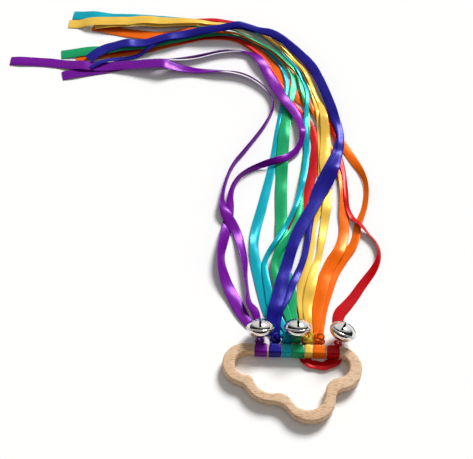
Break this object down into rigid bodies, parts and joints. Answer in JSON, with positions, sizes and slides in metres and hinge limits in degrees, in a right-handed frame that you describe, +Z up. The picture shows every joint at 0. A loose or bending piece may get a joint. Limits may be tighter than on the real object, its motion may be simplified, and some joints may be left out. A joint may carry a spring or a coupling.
{
  "type": "ribbon ring hand toy",
  "caption": "Cloud-shaped wooden hand ring with satin ribbons tied along its bar and jingle bells hung at the knots, for waving so that the ribbons stream and the bells ring.",
  "frame": {"origin": "on the floor, below the middle of the ring and bells taken together without the ribbons' tails", "axes": "+X along the bar from the violet ribbon to the red one, +Y from the ring towards the ribbons, +Z up from the floor that the toy lies on"},
  "size_m": [0.3261, 0.3992, 0.022],
  "materials": {
    "beech": "bare sanded beech with fine dark flecks",
    "violet_satin": "satin ribbon",
    "blue_satin": "satin ribbon",
    "turquoise_satin": "satin ribbon",
    "green_satin": "satin ribbon",
    "yellow_satin": "satin ribbon",
    "orange_satin": "satin ribbon",
    "red_satin": "satin ribbon",
    "nickel": "polished nickel plate on steel"
  },
  "bodies": {
    "ring": {"cloud_ring": "beech", "violet_ribbon_wrap": "violet_satin", "blue_ribbon_wrap": "blue_satin", "turquoise_ribbon_wrap": "turquoise_satin", "green_ribbon_wrap": "green_satin", "yellow_ribbon_wrap": "yellow_satin", "orange_ribbon_wrap": "orange_satin", "red_ribbon_wrap": "red_satin", "red_ribbon_slack_turn": "red_satin"},
    "ribbons": {"violet_ribbon_knot": "violet_satin", "blue_ribbon_knot": "blue_satin", "turquoise_ribbon_knot": "turquoise_satin", "green_ribbon_knot": "green_satin", "yellow_ribbon_knot": "yellow_satin", "orange_ribbon_knot": "orange_satin", "red_ribbon_knot": "red_satin", "violet_ribbon_tail_left": "violet_satin", "violet_ribbon_tail_right": "violet_satin", "blue_ribbon_tail_left": "blue_satin", "blue_ribbon_tail_right": "blue_satin", "turquoise_ribbon_tail_left": "turquoise_satin", "turquoise_ribbon_tail_right": "turquoise_satin", "green_ribbon_tail_left": "green_satin", "green_ribbon_tail_right": "green_satin", "yellow_ribbon_tail_left": "yellow_satin", "yellow_ribbon_tail_right": "yellow_satin", "orange_ribbon_tail_left": "orange_satin", "orange_ribbon_tail_right": "orange_satin", "red_ribbon_tail_left": "red_satin", "red_ribbon_tail_right": "red_satin"},
    "bell_left": {"bell_left_crown": "nickel", "bell_left_slotted_dome": "nickel", "bell_left_loop": "nickel"},
    "bell_middle": {"bell_middle_crown": "nickel", "bell_middle_slotted_dome": "nickel", "bell_middle_loop": "nickel"},
    "bell_right": {"bell_right_crown": "nickel", "bell_right_slotted_dome": "nickel", "bell_right_loop": "nickel"},
    "pea_left": {"bell_left_pea": "nickel"},
    "pea_middle": {"bell_middle_pea": "nickel"},
    "pea_right": {"bell_right_pea": "nickel"}
  },
  "joints": [
    {"name": "ribbons_swing", "type": "hinge", "parent": "ring", "child": "ribbons", "pos_m": [-0.0005, 0.01639, 0.0047], "axis": [1, 0, 0], "range_deg": [0, 75]},
    {"name": "bell_left_swing", "type": "hinge", "parent": "ribbons", "child": "bell_left", "pos_m": [-0.02435, 0.02372, 0.0074], "axis": [1, 0, 0], "range_deg": [0, 40]},
    {"name": "bell_middle_swing", "type": "hinge", "parent": "ribbons", "child": "bell_middle", "pos_m": [0.00375, 0.02472, 0.0074], "axis": [1, 0, 0], "range_deg": [0, 40]},
    {"name": "bell_right_swing", "type": "hinge", "parent": "ribbons", "child": "bell_right", "pos_m": [0.03435, 0.02372, 0.0074], "axis": [0.8829, -0.4695, 0], "range_deg": [0, 40]},
    {"name": "pea_left_rattle", "type": "slide", "parent": "bell_left", "child": "pea_left", "axis": [0, 0, 1], "range_m": [0, 0.0095]},
    {"name": "pea_middle_rattle", "type": "slide", "parent": "bell_middle", "child": "pea_middle", "axis": [0, 0, 1], "range_m": [0, 0.0095]},
    {"name": "pea_right_rattle", "type": "slide", "parent": "bell_right", "child": "pea_right", "axis": [0, 0, 1], "range_m": [0, 0.0095]}
  ]
}
